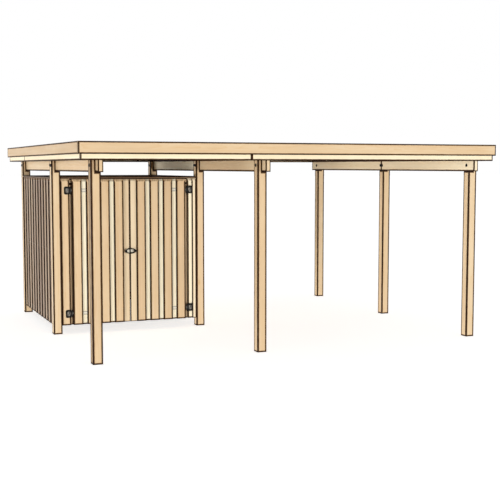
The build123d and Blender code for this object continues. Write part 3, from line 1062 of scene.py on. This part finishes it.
class CARPORT_OT_pulls(bpy.types.Operator):
    """Half an oval pull on each door"""
    bl_idname = "carport.pulls"
    bl_label = "Door Pulls"

    def half_oval(self, part, cut_x, thickness):
        """Cuts a flat oval where the doors meet and makes it solid."""
        split(part, (cut_x, 0, 0), (1, 0, 0), clear_outer=True)
        raise_faces(part, part.faces[:], thickness)
        bmesh.ops.recalc_face_normals(part, faces=part.faces)

    def pull(self, side_name, context):
        fittings = context.scene.carport_fittings
        low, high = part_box("door_pull_left")
        middle_x = doorway_middle()
        half_width = middle_x - low.x
        half_height = (high.z - low.z) / 2
        centre = Vector((middle_x, low.y, (low.z + high.z) / 2))
        bar, thick = fittings.pull_bar, PULL_THICKNESS
        cut_x = high.x - middle_x
        upright = Matrix.Rotation(math.pi / 2, 4, "X")
        piece = Workpiece(f"door_pull_{side_name}_iron")
        part = bmesh.new()
        piece.add_layers(part)
        rims = []
        for inset in (0.0, bar):
            size = Matrix.Diagonal((half_width - inset, half_height - inset, 1, 1))
            made = bmesh.ops.create_circle(part, segments=64, radius=1.0, matrix=size)
            rims += [edge for edge in part.edges if edge.verts[0] in made["verts"]]
        bmesh.ops.bridge_loops(part, edges=list(set(rims)))
        self.half_oval(part, cut_x, thick)
        round_edges(part, 0.0025, 3)
        stand = Matrix.Translation(centre + Vector((0, thick, 0))) @ upright
        bmesh.ops.transform(part, matrix=stand, verts=part.verts)
        piece.mark_edges(part, set())
        foot_x = high.x - bar + 0.001
        for side in (-1, 1):
            foot_z = centre.z + side * (half_height - bar / 2)
            foot = (foot_x, (low.y + thick + high.y) / 2, foot_z)
            piece.rod(foot, Y, PULL_FOOT_RADIUS, high.y - low.y - thick + 0.002, sides=16)
            rose = (foot_x, high.y - 0.0015, foot_z)
            piece.rod(rose, Y, PULL_ROSE_RADIUS, PULL_ROSE_THICKNESS, sides=20)
        lug_x = low.x + LUG_PLACE * bar
        lug = (lug_x, low.y + thick / 2, centre.z)
        piece.rod(lug, Y, LUG_RADIUS * bar, thick + 0.004, sides=24, end_round=0.002)
        post = (lug_x, (low.y + high.y) / 2, centre.z)
        piece.rod(post, Y, PULL_POST_RADIUS, high.y - low.y - 0.002, sides=16)

        dish = Workpiece(f"door_pull_{side_name}_dish")
        part = bmesh.new()
        dish.add_layers(part)
        size = Matrix.Diagonal((half_width - bar, half_height - bar / 2, 1, 1))
        bmesh.ops.create_circle(part, cap_ends=True, segments=48, radius=1.0, matrix=size)
        self.half_oval(part, cut_x, DISH_THICKNESS)
        flats = round_edges(part, 0.001, 2)
        wide = [face for face in flats if abs(face.normal.z) > 0.9]
        bmesh.ops.inset_individual(part, faces=wide, thickness=DISH_BAND, use_even_offset=True)
        inner = {vert for face in wide for vert in face.verts}
        stand = Matrix.Translation((middle_x, high.y, centre.z)) @ upright
        bmesh.ops.transform(part, matrix=stand, verts=part.verts)
        dish.mark_edges(part, inner)
        mirror_right(side_name, piece, dish)
        body = f"{side_name}_door"
        piece.place("ironwork", [f"door_pull_{side_name}"], body, "black_iron")
        dish.place("ironwork", (), body, "zinc_iron")

    def execute(self, context):
        for side_name in ("left", "right"):
            self.pull(side_name, context)
        return {"FINISHED"}


class CARPORT_OT_bolts(bpy.types.Operator):
    """Bolts that hold the beams in the post notches"""
    bl_idname = "carport.bolts"
    bl_label = "Beam Bolts"

    def execute(self, context):
        fittings = context.scene.carport_fittings
        piece = Workpiece("beam_bolts")
        for row in ROWS:
            for name in FRAMES:
                low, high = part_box(f"post_{row}_{name}")
                beam_low, beam_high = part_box(f"beam_{name}_front")
                middle_y = (low.y + high.y) / 2
                level = (beam_low.z + beam_high.z) / 2
                for offset in (-BOLT_OFFSET, BOLT_OFFSET) if row == "middle" else (0.0,):
                    for face, outward in ((low.x, -1), (high.x, 1)):
                        spot = Vector((face, middle_y + offset, level))
                        washer = spot + Vector((outward * WASHER_STAND, 0, 0))
                        piece.rod(washer, X, fittings.washer_radius, WASHER_THICKNESS)
                        bolt = spot + Vector((outward * BOLT_HEAD_STAND, 0, 0))
                        piece.rod(bolt, X, fittings.bolt_radius, BOLT_HEAD_THICKNESS, sides=6)
        piece.place("ironwork", finish="black_iron")
        return {"FINISHED"}


class CARPORT_OT_stage(bpy.types.Operator):
    """Floor, sky light, lamps and the camera at the picture's place"""
    bl_idname = "carport.stage"
    bl_label = "Stage"

    def seen_rays(self, bench):
        """1 for the rays of the camera, of reflections and of glass, 0 for the rest."""
        camera_ray = bench.node("LightPath")
        shown = camera_ray + camera_ray.beside("Is Glossy Ray") + camera_ray.beside("Is Transmission Ray")
        return bench.node("Clamp", {0: shown})

    def floor(self, settings):
        mesh = bmesh.new()
        bmesh.ops.create_grid(mesh, x_segments=1, y_segments=1, size=settings.floor_size / 2)
        data = bpy.data.meshes.new("studio_floor")
        mesh.to_mesh(data)
        mesh.free()
        floor = add_object("studio_floor", data)
        material, bench = new_finish("studio_floor")
        seen = self.seen_rays(bench)
        matt = bench.node("BsdfDiffuse", {"Color": opaque(settings.floor_colour)})
        glow = bench.node("Emission", {"Color": WHITE, "Strength": settings.floor_glow})
        lifted = bench.node("AddShader", {0: matt, 1: glow})
        surface = bench.node("MixShader", {0: seen, 1: matt, 2: lifted})
        bench.node("OutputMaterial", {"Surface": surface})
        data.materials.append(material)
        floor.visible_shadow = False

    def sky(self, settings):
        world = bpy.data.worlds.new("studio_sky")
        world.use_nodes = True
        bpy.context.scene.world = world
        bench = FinishBench(world.node_tree)
        seen = self.seen_rays(bench)
        light = bench.node("Background", {"Color": WHITE, "Strength": settings.world_strength})
        backdrop = bench.node("Background", {"Color": WHITE, "Strength": 1.0})
        surface = bench.node("MixShader", {0: seen, 1: light, 2: backdrop})
        bench.node("OutputWorld", {"Surface": surface})

    def lamp(self, name, energy, heading, height):
        data = bpy.data.lights.new(name, "SUN")
        data.energy = energy
        data.angle = LAMP_SOFTNESS
        add_object(name, data).rotation_euler = (math.pi / 2 - height, 0, heading)

    def camera(self, settings):
        data = bpy.data.cameras.new("picture_camera")
        data.lens = settings.camera_lens
        data.sensor_width = SENSOR_WIDTH
        data.clip_end = FARTHEST_VIEW
        camera = add_object("picture_camera", data)
        camera.location = settings.camera_place
        camera.rotation_euler = (math.pi / 2 - settings.camera_pitch, 0, -settings.camera_heading)
        bpy.context.scene.camera = camera

    def execute(self, context):
        settings = context.scene.carport_stage
        self.floor(settings)
        self.sky(settings)
        for side, heading in LAMP_HEADINGS.items():
            energy = getattr(settings, side + "_strength")
            self.lamp(side + "_lamp", energy, math.radians(heading), settings.lamp_height)
        self.camera(settings)
        context.scene.view_settings.view_transform = "Standard"
        return {"FINISHED"}


BUILD_ORDER = (
    CARPORT_OT_posts,
    CARPORT_OT_beams,
    CARPORT_OT_rafters,
    CARPORT_OT_roof_deck,
    CARPORT_OT_roof_sheets,
    CARPORT_OT_fascias,
    CARPORT_OT_shed_walls,
    CARPORT_OT_doorway,
    CARPORT_OT_doors,
    CARPORT_OT_hinges,
    CARPORT_OT_pulls,
    CARPORT_OT_bolts,
    CARPORT_OT_stage,
)


class CARPORT_PT_workshop(bpy.types.Panel):
    """Lists the settings and the build steps"""
    bl_idname = "CARPORT_PT_workshop"
    bl_label = "Carport"
    bl_space_type = "VIEW_3D"
    bl_region_type = "UI"
    bl_category = "Carport"

    def draw(self, context):
        layout = self.layout
        for group_name in GROUPS:
            group = getattr(context.scene, group_name)
            box = layout.box()
            for name in group.bl_rna.properties.keys():
                if name not in ("rna_type", "name"):
                    box.prop(group, name)
        for operator in BUILD_ORDER:
            layout.operator(operator.bl_idname)


GROUPS = {
    "carport_timber": CarportTimberSizes,
    "carport_fittings": CarportFittingSizes,
    "carport_colours": CarportColours,
    "carport_stage": CarportStageSettings,
}


def register():
    for name, group in GROUPS.items():
        bpy.utils.register_class(group)
        setattr(bpy.types.Scene, name, PointerProperty(type=group))
    for operator in BUILD_ORDER:
        bpy.utils.register_class(operator)
    bpy.utils.register_class(CARPORT_PT_workshop)


def unregister():
    bpy.utils.unregister_class(CARPORT_PT_workshop)
    for operator in reversed(BUILD_ORDER):
        bpy.utils.unregister_class(operator)
    for name, group in GROUPS.items():
        delattr(bpy.types.Scene, name)
        bpy.utils.unregister_class(group)


def main():
    """Builds the carport around the frame."""
    register()
    for operator in BUILD_ORDER:
        getattr(bpy.ops.carport, operator.bl_idname.split(".")[1])()


if __name__ == "__main__":
    main()
